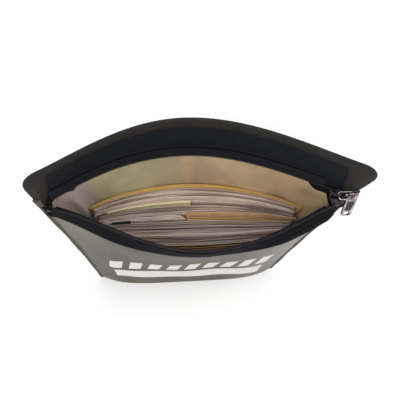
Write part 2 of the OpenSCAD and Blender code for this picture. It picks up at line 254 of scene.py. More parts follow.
def shell(name, points, thickness, lift=0.0, tone=None):
    # a sheet: the grid moved out along its normals by lift, and again by lift + thickness
    n = normalsOf(points)
    outer, inner = points + n * (lift + thickness), points + n * lift
    outer[..., 2], inner[..., 2] = np.maximum(outer[..., 2], 0.0001), np.maximum(inner[..., 2], 0.0001)
    uv = gridUv(points)
    r, c = points.shape[:2]
    return addMesh(name, np.stack([outer, inner]), shellFaces(r, c), np.stack([uv, uv]), tone=tone)


def tube(name, rings, closedPath=False, uv=None):
    # rings of points about a path, counterclockwise seen from ahead
    m, k = rings.shape[:2]
    faces = [quads(m, k, closed=True)]
    if closedPath:
        last = np.stack([(m - 1) * k + np.arange(k), (m - 1) * k + (np.arange(k) + 1) % k,
                         (np.arange(k) + 1) % k, np.arange(k)], -1)
        faces.append(last)
    else:
        faces += [[list(range(k))[::-1]], [list(range((m - 1) * k, m * k))]]
    return addMesh(name, rings, faces, uv)


def framesAlong(path, up=(0, 0, 1)):  # forward, side and upright directions along a path
    t = np.gradient(path, axis=0)
    t /= np.linalg.norm(t, axis=1, keepdims=True)
    side = np.cross(t, np.asarray(up, float))
    side /= np.linalg.norm(side, axis=1, keepdims=True)
    return t, side, np.cross(side, t)


def stitches(name, path, pitch, length, radius):
    # a thread dash at each pitch along a path: three short spans of a six-sided tube, thin at both ends
    step = np.linalg.norm(np.diff(path, axis=0), axis=1)
    far = np.concatenate([[0], np.cumsum(step)])
    starts = np.arange(pitch / 2, far[-1] - length, pitch)
    along = starts[:, None] + length * np.array([0, 0.2, 0.8, 1])
    centre = np.stack([np.interp(along, far, path[:, k]) for k in range(3)], -1)
    t, side, upright = framesAlong(path)
    at = lambda field: np.stack([np.interp(along, far, field[:, k]) for k in range(3)], -1)
    a = np.arange(6) / 6 * 2 * np.pi
    size = (radius * np.array([0.35, 1, 1, 0.35]))[None, :, None, None]
    ring = centre[:, :, None] + size * (np.cos(a)[:, None] * at(side)[:, :, None]
                                        + np.sin(a)[:, None] * at(upright)[:, :, None])
    n = len(starts)
    one = quads(4, 6, closed=True)
    body = (np.arange(n)[:, None, None] * 24 + one).reshape(-1, 4)
    ends = np.concatenate([np.arange(n)[:, None] * 24 + np.arange(6)[::-1],
                           np.arange(n)[:, None] * 24 + 18 + np.arange(6)])
    return addMesh(name, ring, [body[:, ::-1], ends[:, ::-1]])


def areaOf(points):  # sum of a grid's cells
    a = points[1:, 1:] - points[:-1, :-1]
    b = points[1:, :-1] - points[:-1, 1:]
    return float(np.linalg.norm(np.cross(a, b), axis=-1).sum() / 2)


# motion: how much each point of the mouth's two lips would bend flat towards the seams' plane as the zip closes

lips = {"frontTravel": 0.0389, "backTravel": 0.0434, "still": 0.001, "frontFoot": 0.165, "backFoot": 0.190,
        "headerStill": 0.0023}


def frontShare(points):
    x, y, z = points.T
    reach = np.maximum(0, midY(z) - y - lips["still"]) / lips["frontTravel"]
    return reach * smoothstep(lips["frontFoot"], mouth["zipHeight"], z)


def backShare(points):
    x, y, z = points.T
    header = smoothstep(mouth["zipHeight"] - 0.002, mouth["zipHeight"] + 0.008, z)
    still = lips["still"] * (1 - header) + lips["headerStill"] * header
    reach = np.maximum(0, y - midY(z) - still) / lips["backTravel"]
    return reach * smoothstep(lips["backFoot"], mouth["zipHeight"], z)


def follow(piece, lip):
    # bake the piece and work out each point's share of the lip, by its own distance from the seams' plane
    shareOf = frontShare if lip == "front_lip" else backShare
    midY(0.2)
    midY(0.2)
    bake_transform(piece)
    points = np.zeros(len(piece.data.vertices) * 3)
    piece.data.vertices.foreach_get("co", points)
    share = shareOf(points.reshape(-1, 3)).astype(np.float32)
    return piece


# shader tools

def paint(*display):  # a display colour as linear light
    linear = [c / 3294.6 if c < 10.31 else ((c / 255 + 0.055) / 1.055) ** 2.4 for c in display]
    return (*linear, 1)


class Wire:  # a shader socket that can be used in a sum
    def __init__(self, finish, socket):
        self.finish, self.socket = finish, socket

    def math(self, operation, *values):
        return self.finish.add("Math", dict(enumerate(values)), {"operation": operation})

    def __add__(self, other):
        return self.math("ADD", self, other)

    def __radd__(self, other):
        return self.math("ADD", other, self)

    def __sub__(self, other):
        return self.math("SUBTRACT", self, other)

    def __rsub__(self, other):
        return self.math("SUBTRACT", other, self)

    def __mul__(self, other):
        return self.math("MULTIPLY", self, other)

    def __rmul__(self, other):
        return self.math("MULTIPLY", other, self)

    def step(self, low, high):  # smooth 0 to 1 between low and high
        return self.finish.add("MapRange", {0: self, 1: low, 2: high}, {"interpolation_type": "SMOOTHSTEP"})


class Finish:  # a material being made; add() makes any node
    def __init__(self, name):
        self.material = bpy.data.materials.new(name)
        self.material.use_nodes = True
        self.nodes = self.material.node_tree.nodes
        self.links = self.material.node_tree.links
        self.nodes.clear()

    def add(self, kind, sockets=None, settings=None, output=0):
        node = self.nodes.new("ShaderNode" + kind)
        for key, value in (settings or {}).items():
            setattr(node, key, value)
        for key, value in (sockets or {}).items():
            if isinstance(value, Wire):
                self.links.new(value.socket, node.inputs[key])
            else:
                node.inputs[key].default_value = value
        return Wire(self, node.outputs[output]) if node.outputs else None

    def objectPoint(self, scale=(1, 1, 1), turn=(0, 0, 0)):
        point = self.add("TexCoord", output="Object")
        return self.add("Mapping", {"Vector": point, "Scale": scale, "Rotation": turn})

    def uvPoint(self, scale=(1, 1, 1)):
        point = self.add("TexCoord", output="UV")
        return self.add("Mapping", {"Vector": point, "Scale": scale})

    def part(self, vector, axis):
        return self.add("SeparateXYZ", {0: vector}, output=axis)

    def noise(self, vector, scale, detail=3, roughness=0.55):
        return self.add("TexNoise", {"Vector": vector, "Scale": scale, "Detail": detail,
                                     "Roughness": roughness})

    def waves(self, vector, scale, distortion, direction):
        return self.add("TexWave", {"Vector": vector, "Scale": scale, "Distortion": distortion},
                        {"bands_direction": direction, "wave_profile": "SIN"}, "Fac")

    def mix(self, factor, a, b, blend="MIX"):
        return self.add("Mix", {0: factor, 6: a, 7: b}, {"data_type": "RGBA", "blend_type": blend}, 2)

    def done(self, colour, roughness, height=None, depth=0.0002, strength=1.0, **fixed):
        sockets = {"Base Color": colour, "Roughness": roughness}
        sockets.update({key.replace("_", " "): value for key, value in fixed.items()})
        if height is not None:
            sockets["Normal"] = self.add("Bump", {"Height": height, "Distance": depth, "Strength": strength})
        surface = self.add("BsdfPrincipled", sockets)
        self.add("OutputMaterial", {"Surface": surface})
        return self.material


def give(piece, material, body=None, replaces=()):
    piece.data.materials.clear()
    piece.data.materials.append(material)
    if replaces:
        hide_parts(*replaces)
    if body in ("front_lip", "back_lip"):
        follow(piece, body)
    elif body:
        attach(piece, body)
    return piece


# finishes

def smokeFilm():  # translucent smoke-grey film with soft clouds, fine scuffs and a painted shadow under the front band
    f = Finish("smokeFilm")
    point = f.objectPoint()
    x, z = f.part(point, 0), f.part(point, 2)
    cloud = f.noise(point, 14, 3)
    base = f.mix(x.step(0.02, 0.12), paint(70, 62, 51), paint(124, 117, 112))
    pale = x.step(-0.075, -0.115) * z.step(0.13, 0.22)
    base = f.mix(pale * 0.6, base, paint(132, 120, 96))
    # painted shadow: the film made darker across the middle, just under the front band
    bandShadow = x.step(-0.09, -0.02) * x.step(0.09, 0.02) * z.step(0.15, 0.215)
    base = f.mix(bandShadow * 0.7, base, paint(74, 70, 68))
    colour = f.mix(cloud.step(0.35, 0.7) * 0.5, base, paint(62, 56, 48))
    scuff = f.noise(f.objectPoint((1, 1, 6)), 260, 4)
    roughness = 0.34 + 0.18 * scuff
    return f.done(colour, roughness, f.noise(point, 160, 4) + 0.3 * scuff, 0.0003, 0.35,
                  Alpha=0.95, Coat_Weight=0.04, Coat_Roughness=0.25, Specular_IOR_Level=0.2)


def liningFilm():  # the back wall: grey outside, and inside tan panels that let light through, painted brighter than the film's own amber to stand for that light, with painted shade, a painted highlight and painted shadow spots
    f = Finish("liningFilm")
    point = f.objectPoint()
    x = f.part(point, 0)
    slanted = f.part(f.objectPoint((1, 1, 1), (0, 0.7, 0)), 0)
    # painted light: the inside tones are the film's own amber tan, painted much brighter than the grey outside
    # face to stand for light coming through the film
    left = f.mix(f.noise(point, 22, 2).step(0.35, 0.65), paint(226, 214, 170), paint(206, 190, 152))
    right = f.mix(f.noise(f.objectPoint((1, 1, 1), (0, 0.6, 0)), 18, 2).step(0.4, 0.6),
                  paint(206, 178, 142), paint(238, 204, 156))
    colour = f.mix(x.step(-0.0148, -0.0138), left, right)
    # painted shade: a darker, pinker band across the middle of the inside face
    midShade = x.step(-0.012, 0.0) * x.step(0.03, 0.012)
    colour = f.mix(midShade * 0.6, colour, paint(190, 164, 146))
    # painted highlight: a light diagonal streak on the inside face
    paintedHighlight = slanted.step(0.150, 0.162) * slanted.step(0.186, 0.170)
    colour = f.mix(paintedHighlight * 0.5, colour, paint(248, 222, 174))
    fold = x.step(-0.092, -0.101)
    colour = f.mix(fold, colour, paint(216, 196, 186))
    # painted shadow: dark blotches on the inside near the right end, where the envelope's end touches the film
    spot = f.noise(f.objectPoint((1, 1, 1.6)), 30, 1).step(0.62, 0.75) * x.step(0.07, 0.09)
    colour = f.mix(spot * 0.6, colour, paint(112, 96, 74))
    inside = f.add("Attribute", None, {"attribute_name": "tone"}, "Fac")
    cloud = f.noise(point, 14, 3).step(0.35, 0.7)
    colour = f.mix(inside, f.mix(cloud, paint(86, 79, 69), paint(110, 103, 93)), colour)
    scuff = f.noise(f.objectPoint((1, 1, 5)), 240, 4)
    return f.done(colour, 0.4 + 0.16 * scuff, f.noise(point, 140, 4) + 0.3 * scuff, 0.0003, 0.3,
                  Alpha=0.9, Coat_Weight=0.1, Coat_Roughness=0.3, Specular_IOR_Level=0.35)


def webbing(name, dark, light, gloss):  # black ribbed band: woven ribs with a fine cross thread
    f = Finish(name)
    point = f.uvPoint()
    ribs = f.waves(point, 150, 0.5, "X")
    picks = f.waves(point, 210, 0.6, "Y")
    worn = f.noise(f.objectPoint(), 40, 3)
    weave = ribs * 0.7 + picks * 0.3
    colour = f.mix(weave * 0.8, dark, light)
    colour = f.mix(worn.step(0.5, 0.8) * 0.4, colour, light)
    return f.done(colour, 0.8 - 0.12 * weave, weave, 0.0002, 0.7, Specular_IOR_Level=gloss)


def smoothTape(name, dark, light, shine):  # plain ribbon with a fine twill
    f = Finish(name)
    point = f.objectPoint()
    grain = f.noise(point, 700, 4)
    worn = f.noise(point, 60, 4)
    colour = f.mix(worn, dark, light)
    colour = f.mix(grain * 0.3, colour, light)
    return f.done(colour, shine + 0.12 * worn, grain + 0.5 * worn, 0.00012, 0.5, Specular_IOR_Level=0.2)


def coilPlastic():
    f = Finish("coilPlastic")
    worn = f.noise(f.objectPoint(), 300, 3)
    colour = f.mix(worn, paint(22, 21, 29), paint(50, 42, 46))
    return f.done(colour, 0.36 + 0.2 * worn, worn, 0.00008, 0.5, Specular_IOR_Level=0.3)


def metal(name, dark, light, rough):  # plated metal, scratched along its length and rubbed bright in places
    f = Finish(name)
    point = f.objectPoint()
    scratch = f.noise(f.objectPoint((1, 1, 0.08), (0.3, 0, 0.2)), 2600, 4, 0.7)
    rubbed = f.noise(point, 220, 3)
    colour = f.mix(rubbed.step(0.35, 0.75), dark, light)
    return f.done(colour, rough + 0.16 * scratch, scratch, 0.00003, 0.5, Metallic=1.0)


def manila(name, pale, deep):  # buff paper with fibres and darker rubbed folds
    f = Finish(name)
    point = f.objectPoint()
    fibre = f.noise(f.objectPoint((1, 1, 0.25)), 900, 5, 0.7)
    blot = f.noise(point, 30, 4)
    tone = f.add("Attribute", None, {"attribute_name": "tone"}, "Fac")
    colour = f.mix(blot.step(0.3, 0.7), paint(*pale), paint(*deep))
    colour = f.mix(fibre * 0.3, colour, paint(214, 184, 130))
    colour = f.mix(tone, colour, paint(232, 190, 108))
    return f.done(colour, 0.62 + 0.12 * fibre, fibre + blot, 0.00015, 0.5)


def paper(name, pale, deep):  # sheets of print paper, each a little different
    f = Finish(name)
    point = f.objectPoint()
    fibre = f.noise(f.objectPoint((1, 1, 0.3)), 1200, 4, 0.7)
    tone = f.add("Attribute", None, {"attribute_name": "tone"}, "Fac")
    colour = f.mix(tone, paint(*deep), paint(*pale))
    colour = f.mix(f.noise(point, 26, 3).step(0.45, 0.8) * 0.5, colour, paint(206, 176, 140))
    return f.done(colour, 0.7 + 0.1 * fibre, fibre, 0.0001, 0.5)


def plainFinish(name, dark, light, rough, grain=300, depth=0.0001, **fixed):
    f = Finish(name)
    worn = f.noise(f.objectPoint(), grain, 4)
    return f.done(f.mix(worn, dark, light), rough + 0.15 * worn, worn, depth, 0.5, **fixed)


finishes = {
    "smokeFilm": smokeFilm(),
    "liningFilm": liningFilm(),
    "baseFilm": plainFinish("baseFilm", paint(84, 80, 74), paint(104, 98, 90), 0.35, 80),
    "webbing": webbing("webbing", paint(14, 16, 21), paint(31, 34, 41), 0.16),
    "frontWebbing": webbing("frontWebbing", paint(3, 3, 6), paint(14, 14, 22), 0.06),
    "rimTape": smoothTape("rimTape", paint(25, 24, 24), paint(46, 43, 40), 0.62),
    "sideTape": smoothTape("sideTape", paint(54, 49, 43), paint(86, 79, 70), 0.6),
    "zipTape": smoothTape("zipTape", paint(12, 13, 18), paint(24, 24, 32), 0.66),
    "coil": coilPlastic(),
    "thread": plainFinish("thread", paint(26, 19, 21), paint(52, 38, 42), 0.6, 900, Specular_IOR_Level=0.2),
    "paleThread": plainFinish("paleThread", paint(84, 77, 69), paint(118, 109, 98), 0.6, 900),
    "slider": metal("sliderMetal", paint(26, 24, 26), paint(70, 66, 69), 0.26),
    "pull": metal("pullMetal", paint(128, 118, 120), paint(214, 202, 202), 0.16),
    "insert": plainFinish("insert", paint(18, 17, 19), paint(50, 46, 48), 0.5, 1500, 0.0003),
    "stop": metal("stopMetal", paint(24, 23, 25), paint(52, 48, 50), 0.34),
    "print": plainFinish("print", paint(204, 198, 194), paint(226, 220, 216), 0.5, 200),
    "manila": manila("manila", (190, 150, 92), (150, 112, 62)),
    "orangeManila": manila("orangeManila", (214, 172, 132), (174, 134, 100)),
    "paper": paper("paper", (250, 234, 222), (142, 116, 106)),
    "slip": paper("slipPaper", (232, 222, 180), (214, 200, 158)),
    "clip": plainFinish("clip", paint(12, 12, 14), paint(30, 30, 34), 0.32, 500),
}
print("finishes made")


# film walls and base

film = {"thickness": 0.0006, "standOff": 0.0006, "columns": 220, "rows": 90, "top": 0.240, "hem": 0.003}


def hemmed(points, towards):  # the lowest rows turn in under the bag on a small radius
    low = np.clip((film["hem"] - points[..., 2]) / film["hem"], 0, 1)
    points[..., 1] += towards * film["hem"] * (1 - np.sqrt(1 - 0.96 * low * low)) * 0.5
    return points


def edgeMask(u, v, top):  # 1 over most of a wall, 0 at its side seams, its hem and its top
    return smoothstep(1, 0.9, np.abs(u)) * smoothstep(0, 0.12, v) * smoothstep(top, top - 0.14, v)


def frontSkin(u, z):  # the front film's inner face: the wall with long soft creases
    v = z / film["top"]
    crease = (0.0009 * np.sin(9 * u + 5 * v + 1) * np.sin(4 * v + 2 * u)
              + 0.0005 * np.sin(23 * u - 7 * v) * smoothstep(0.5, 1, v)
              + 0.0012 * np.exp(-((u + 0.86 - 0.25 * v) / 0.05) ** 2))
    points = hemmed(frontWall(u, z), 1)
    return points + normalsOf(points) * (film["standOff"] + crease * edgeMask(u, v, 0.92))[..., None]


def frontPanel():  # the front skin as a sheet with thickness
    u, v = np.meshgrid(np.linspace(-1, 1, film["columns"]), np.linspace(0, 1, film["rows"]))
    points = frontSkin(u, v * film["top"])
    piece = shell("frontPanel", points, film["thickness"])
    return give(piece, finishes["smokeFilm"], "front_lip", ["front_panel"])


def backPanel():  # the wall with a fold, a slanting crease and a dimple, each a bell curve
    u, v = np.meshgrid(np.linspace(-1, 1, film["columns"]), np.linspace(0, 1, film["rows"]))
    top = film["top"] + 0.0095 * np.minimum(1, 3 * lens(u))
    points = hemmed(backWall(u, v * top), -1)
    fold = np.exp(-((u + 0.80 + 0.05 * v) / 0.03) ** 2) - 0.7 * np.exp(-((u + 0.72 + 0.05 * v) / 0.05) ** 2)
    run = u - 0.5 * (1 - v)
    slant = np.exp(-((run - 0.35) / 0.07) ** 2) - np.exp(-((run - 0.55) / 0.06) ** 2)
    dimple = np.exp(-((u - 0.84) / 0.05) ** 2 - ((v - 0.86) / 0.05) ** 2)
    crease = (0.0022 * fold + 0.0016 * slant - 0.0022 * dimple
              + 0.0009 * np.sin(11 * u + 3 * v) * np.sin(5 * v - 3 * u))
    points += normalsOf(points) * (crease * edgeMask(u, v, 1) * smoothstep(0.3, 0.7, v))[..., None]
    inside = np.stack([np.zeros_like(u), np.ones_like(u)])
    piece = shell("backPanel", points[:, ::-1], film["thickness"], film["standOff"], inside)
    return give(piece, finishes["liningFilm"], "back_lip", ["back_panel"])


def basePanel():  # the base between the two hems, crowned a little upwards
    u, v = np.meshgrid(np.linspace(-0.985, 0.985, 90), np.linspace(0, 1, 14))
    front, back = -pouch["baseFront"] * foot(u) * 0.985, pouch["baseBack"] * foot(u) * 0.985
    crown = 0.0009 * np.sin(np.pi * v) ** 0.5 * foot(u)
    points = place(pouch["baseHalf"] * u, front + (back - front) * v, 0.0003 + crown)
    piece = shell("basePanel", points, 0.0005)
    areaOf(points)
    return give(piece, finishes["baseFilm"], "bag", ["base_panel"])


frontPanel()
backPanel()
basePanel()
print("film walls made")


# bindings

sideTape = {"width": 0.0058, "thickness": 0.0026, "inside": 0.0016, "top": 0.251, "rings": 120,
            "stitchIn": 0.0022}


def sideBinding(name, side):
    # a flat ribbon folded round the seam: rounded rectangle profile carried up the seam
    z = np.linspace(0, sideTape["top"], sideTape["rings"])
    wave = 0.0003 * np.sin(z * 90 + side)
    path = place(side * seamX(z), midY(z) + wave, z)
    half = sideTape["thickness"] / 2 * (1 + 0.08 * np.sin(z * 260))
    a = np.linspace(-np.pi / 2, np.pi / 2, 9)
    reach = np.concatenate([[-sideTape["inside"]], np.cos(a) * 0.0009 + sideTape["width"] - 0.0018,
                            [-sideTape["inside"]]])
    depth = np.concatenate([[-0.72], np.sin(a), [0.72]])
    ring = place(side * reach[None, :] + 0 * z[:, None], depth[None, :] * half[:, None], 0)
    rings = path[:, None] + ring
    if side > 0:
        rings = rings[:, ::-1]
    piece = tube(name, rings[:, ::-1])
    node = "side_binding_left" if side < 0 else "side_binding_right"
    give(piece, finishes["sideTape"], "bag", [node])
    line = path[3:-2] + place(side * sideTape["stitchIn"], -half[3:-2] * 0.92, 0 * z[3:-2])
    back = line * 1.0
    back[:, 1] = 2 * path[3:-2, 1] - line[:, 1]
    for word, track in (("Front", line), ("Back", back)):
        thread = stitches(f"{name}Stitch{word}", track, 0.0036, 0.0026, 0.00026)
        give(thread, finishes["paleThread"], "bag")
    return piece


sideBinding("sideBindingLeft", -1)
sideBinding("sideBindingRight", 1)

band = {"thickness": 0.0016, "ribPitch": 0.0014, "ribHeight": 0.0001, "frontTop": 0.243, "frontLow": 0.2235,
        "bindingShare": 0.22, "cornerFrom": 0.87, "cornerTo": 0.94, "bindingProud": 0.0008,
        "frontStand": 0.0015, "standRight": 0.007, "standLeft": 0.0025, "dropRight": 0.003, "dropLeft": 0.002,
        "foot": -0.08, "apron": 0.47}


def ribs(x):  # rounded ribs: the size of a sine to a power
    return band["ribHeight"] * np.abs(np.sin(np.pi * x / band["ribPitch"])) ** 0.7


def bindingEdge(u):  # where the rim's binding ends, as a share of the header's height
    corner = smoothstep(band["cornerFrom"], band["cornerTo"], np.abs(u))
    return 1 - band["bindingShare"] - (1.3 - band["bindingShare"]) * corner


def headerBand():  # the header's rulings with ribs, its foot rolled in, and a lower apron at each end
    u, v = np.meshgrid(np.linspace(-0.955, 0.955, 1100), np.linspace(0, 1, 10))
    low = band["foot"] - band["apron"] * smoothstep(0.68, 0.82, np.abs(u))
    share = low + (np.minimum(1, bindingEdge(u) + 0.06) - low) * v
    points = header(u, share)
    lift = ribs(u * pouch["rimHalf"]) * smoothstep(0.93, 0.88, np.abs(u)) * smoothstep(0, 0.06, v)
    n = normalsOf(points)
    roll = 0.0007 * smoothstep(0.12, 0, v)
    front = points + n * (lift - roll)[..., None]
    back = points - n * (band["thickness"] - 0.0002 + 0 * lift - roll)[..., None]
    uv = gridUv(points)
    piece = addMesh("headerBand", np.stack([front, back]), shellFaces(*points.shape[:2]), np.stack([uv, uv]))
    areaOf(points)
    return give(piece, finishes["webbing"], "back_lip", ["header_band"])


def bandDrop(u):  # how far the front band's low edge hangs below its straight line
    return (band["dropRight"] * smoothstep(0.3, 0.75, u)
            + band["dropLeft"] * np.exp(-((u + 0.55) / 0.25) ** 2))


def bandStand(u, v):  # the low edge stands away from the film towards the slider, and a little on the left
    away = band["standRight"] * smoothstep(0.1, 0.6, u) * smoothstep(1, 0.86, u)
    return (away + band["standLeft"] * np.exp(-((u + 0.55) / 0.25) ** 2)) * np.clip(1 - v, 0, 1) ** 1.2


def frontBand():  # a strip of the front wall with ribs, two soft ridges and rolled edges
    u, v = np.meshgrid(np.linspace(-0.998, 0.998, 1100), np.linspace(0, 1, 14))
    low = band["frontLow"] - bandDrop(u)
    points = frontWall(u, low + (band["frontTop"] - low) * v)
    points += normalsOf(points) * bandStand(u, v)[..., None]
    n = normalsOf(points)
    high, mid = (v - 0.62 - 0.1 * u) / 0.09, (v - 0.30 - 0.1 * u) / 0.09
    ridge = 0.0006 * (np.exp(-high ** 2) + 0.8 * np.exp(-mid ** 2))
    soft = smoothstep(0.25, 0.6, u) * smoothstep(1, 0.9, u)
    lift = ribs(u * seamX(0.235)) * smoothstep(0, 0.1, v) * smoothstep(1, 0.9, v) + ridge * soft
    roll = 0.0006 * (smoothstep(0.1, 0, v) + smoothstep(0.93, 1, v))
    front = points + n * (band["frontStand"] + band["thickness"] + lift - roll)[..., None]
    back = points + n * (band["frontStand"] + roll)[..., None]
    uv = gridUv(points)
    piece = addMesh("frontBand", np.stack([front, back]), shellFaces(*points.shape[:2]), np.stack([uv, uv]))
    areaOf(points)
    return give(piece, finishes["frontWebbing"], "front_lip", ["front_band"])


def rimBinding():
    # a ribbon folded over the rim: down the front face, round the top edge and down the back
    u = np.linspace(-1, 1, 420)
    edge = bindingEdge(u)
    down = np.linspace(0, 1, 9)
    share = edge[:, None] + (1 - edge[:, None]) * down[None, :]
    uu = np.broadcast_to(u[:, None], share.shape)
    face = header(uu, share)
    n = np.stack([0 * u, -np.ones_like(u), 0 * u], -1)[:, None]
    half = band["thickness"] / 2
    proud = half + band["bindingProud"] * np.minimum(1, 0.35 + 2.5 * down)[None, :, None]
    puff = 0.0004 * np.sin(np.pi * down)[None, :, None]
    middle = face - n * half
    front = middle + n * (proud + puff)
    back = (middle - n * (proud + puff))[:, ::-1]
    top = middle[:, -1:]
    outward = top - middle[:, -2:-1]
    outward /= np.linalg.norm(outward, axis=-1, keepdims=True)
    a = np.linspace(0, np.pi, 9)[1:-1][None, :, None]
    size = half + band["bindingProud"]
    cap = top + n * size * np.cos(a) + outward * size * 0.8 * np.sin(a)
    rings = np.concatenate([front, cap, back], axis=1)
    along = np.concatenate([[0], np.cumsum(np.linalg.norm(np.diff(rings[:, 9], axis=0), axis=1))])
    turn = np.linspace(0, 0.02, rings.shape[1])
    uv = np.stack(np.broadcast_arrays(along[:, None], turn[None, :]), -1)
    piece = tube("rimBinding", rings[:, ::-1], uv=uv[:, ::-1])
    give(piece, finishes["rimTape"], "back_lip", ["rim_binding"])
    inner = np.linspace(-0.985, 0.985, 900)
    seat = np.clip(bindingEdge(inner) + 0.035, -0.2, 1)
    line = header(inner, seat)
    for word, sign, gap in (("Front", -1, 0.0007), ("Back", 1, band["thickness"] + 0.0006)):
        track = line + [0, sign * 0.0006 + (gap if sign > 0 else 0), 0]
        thread = stitches(f"rimStitch{word}", track, 0.0034, 0.0025, 0.00024)
        give(thread, finishes["thread"], "back_lip")
    return piece


headerBand()
frontBand()
rimBinding()
print("bands made")


# zip

zipChain = {"pitch": 0.0016, "halfWidth": 0.00115, "halfHeight": 0.00085, "wire": 0.00036, "perTurn": 12,
            "tape": 0.0007, "ends": 0.965, "tapeFrom": -0.965, "tapeTo": 0.86}


def coil(name, line, body, node):
    # a helix about the zip line, squashed to the coil's width and height, as a five-sided wire
    fine = line(np.linspace(-zipChain["ends"], zipChain["ends"], 1200))
    far = np.concatenate([[0], np.cumsum(np.linalg.norm(np.diff(fine, axis=0), axis=1))])
    turns = int(far[-1] / zipChain["pitch"])
    at = np.linspace(0, far[-1], turns * zipChain["perTurn"])
    centre = np.stack([np.interp(at, far, fine[:, k]) for k in range(3)], -1)
    t, side, upright = framesAlong(centre)
    angle = at / zipChain["pitch"] * 2 * np.pi
    path = (centre + side * (zipChain["halfWidth"] * np.cos(angle))[:, None]
            + upright * (zipChain["halfHeight"] * np.sin(angle))[:, None])
    t, a, b = framesAlong(path, (0.3, 0.2, 1))
    turn = np.arange(5) / 5 * 2 * np.pi
    spoke = np.cos(turn)[:, None] * a[:, None] + np.sin(turn)[:, None] * b[:, None]
    rings = path[:, None] + zipChain["wire"] * spoke
    return give(tube(name, rings[:, ::-1]), finishes["coil"], body, [node])


def coilCore(name, line, body):  # the cord inside the coil, which also closes the view through it
    path = line(np.linspace(-zipChain["ends"], zipChain["ends"], 260))
    t, a, b = framesAlong(path)
    turn = np.arange(8) / 8 * 2 * np.pi
    rings = (path[:, None] + 0.0007 * np.cos(turn)[:, None] * a[:, None]
             + 0.0005 * np.sin(turn)[:, None] * b[:, None])
    return give(tube(name, rings[:, ::-1]), finishes["zipTape"], body)


def frontTape():  # straight rulings from the front wall to the coil, bulged by a half sine
    u, v = np.meshgrid(np.linspace(zipChain["tapeFrom"], zipChain["tapeTo"], 300), np.linspace(0, 1, 10))
    low = frontWall(u * zipShare, 0.241) + [0, 0.0004, 0]
    high = frontZip(u) + [0, -0.0002, -0.0006]
    w = v[..., None]
    points = low * (1 - w) + high * w
    points[..., 1] -= 0.0009 * np.sin(np.pi * v)
    piece = shell("zipTapeFront", points, zipChain["tape"])
    return give(piece, finishes["zipTape"], "front_lip", ["zip_tape_front"])


def backTape():  # straight rulings from the coil to the header's foot
    u, v = np.meshgrid(np.linspace(zipChain["tapeFrom"], zipChain["tapeTo"], 300), np.linspace(0, 1, 10))
    low = backZip(u) + [0, 0.0002, 0.0006]
    high = header(u * zipShare, 0.10 + 0 * u) - [0, 0.0010, 0]
    w = v[..., None]
    points = low * (1 - w) + high * w
    piece = shell("zipTapeBack", points, zipChain["tape"])
    return give(piece, finishes["zipTape"], "back_lip", ["zip_tape_back"])


def endTab():  # a short tape tail that joins the two lips beyond the bottom stop
    u, v = np.meshgrid(np.linspace(-0.999, -0.94, 16), np.linspace(0, 1, 12))
    low = frontWall(u, 0.241) + [0, 0.0006, 0]
    high = header(u, -0.12 + 0 * u) - [0, 0.0004, 0]
    w = v[..., None]
    points = low * (1 - w) + high * w
    points[..., 2] -= 0.0012 * np.sin(np.pi * v)
    return give(shell("endTab", points, zipChain["tape"]), finishes["zipTape"], "bag")


endTab()
coil("zipCoilFront", frontZip, "front_lip", "zip_coil_front")
coil("zipCoilBack", backZip, "back_lip", "zip_coil_back")
coilCore("coilCoreFront", frontZip, "front_lip")
coilCore("coilCoreBack", backZip, "back_lip")
frontTape()
backTape()


def seamLines():  # the rows of stitches that hold the tapes and the front band
    u = np.linspace(-0.92, 0.92, 800)
    upper = header(u * zipShare, 0.16 + 0 * u) - [0, 0.0004, 0]
    give(stitches("headerStitch", upper, 0.0034, 0.0025, 0.00026), finishes["thread"], "back_lip")
    low = band["frontLow"] - bandDrop(u)
    for name, v in (("bandStitchTop", 0.92), ("bandStitchLow", 0.12)):
        uu, vv = np.meshgrid(u, v + np.array([-0.05, 0, 0.05]))
        wall = frontWall(uu, low + (band["frontTop"] - low) * vv)
        wall += normalsOf(wall) * bandStand(uu, vv)[..., None]
        n = normalsOf(wall)
        line = (wall + n * (band["frontStand"] + band["thickness"] + 0.00008))[1]
        give(stitches(name, line, 0.0034, 0.0025, 0.00024), finishes["thread"], "front_lip")


seamLines()
print("zip made")


# slider, pull and stops

def refined(node, name, material, body, width=0.00018):
    # the CAD solid with its loose triangles merged and its edges rounded
    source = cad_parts[node]
    mesh = source.data.copy()
    piece = bpy.data.objects.new(name, mesh)
    bpy.context.scene.collection.objects.link(piece)
    shape = bmesh.new()
    shape.from_mesh(mesh)
    bmesh.ops.remove_doubles(shape, verts=shape.verts, dist=1e-6)
    bmesh.ops.dissolve_limit(shape, angle_limit=math.radians(1), verts=shape.verts, edges=shape.edges)
    shape.to_mesh(mesh)
    shape.free()
    for layer in list(mesh.uv_layers):
        mesh.uv_layers.remove(layer)
    mesh.polygons.foreach_set("use_smooth", np.ones(len(mesh.polygons), bool))
    mesh.set_sharp_from_angle(angle=math.radians(40))
    bevel = piece.modifiers.new("edges", "BEVEL")
    bevel.width, bevel.segments, bevel.limit_method, bevel.angle_limit = width, 2, "ANGLE", math.radians(40)
    bevel.harden_normals = False
    return give(piece, material, body, [node])


refined("slider_body", "sliderBody", finishes["slider"], "slider")
refined("slider_bridge", "sliderBridge", finishes["slider"], "slider")
refined("pull_tab", "pullTab", finishes["pull"], "tab", 0.0002)
refined("tab_insert", "tabInsert", finishes["insert"], "tab", 0.00008)
refined("zip_bottom_stop", "bottomStop", finishes["stop"], "bag")
refined("zip_top_stops", "topStops", finishes["stop"], "bag")
refined("bar_tacks", "barTacks", finishes["thread"], "bag", 0.0001)

ringWire = {"radius": 0.0007, "bend": 0.002, "segments": 12, "sides": 16}


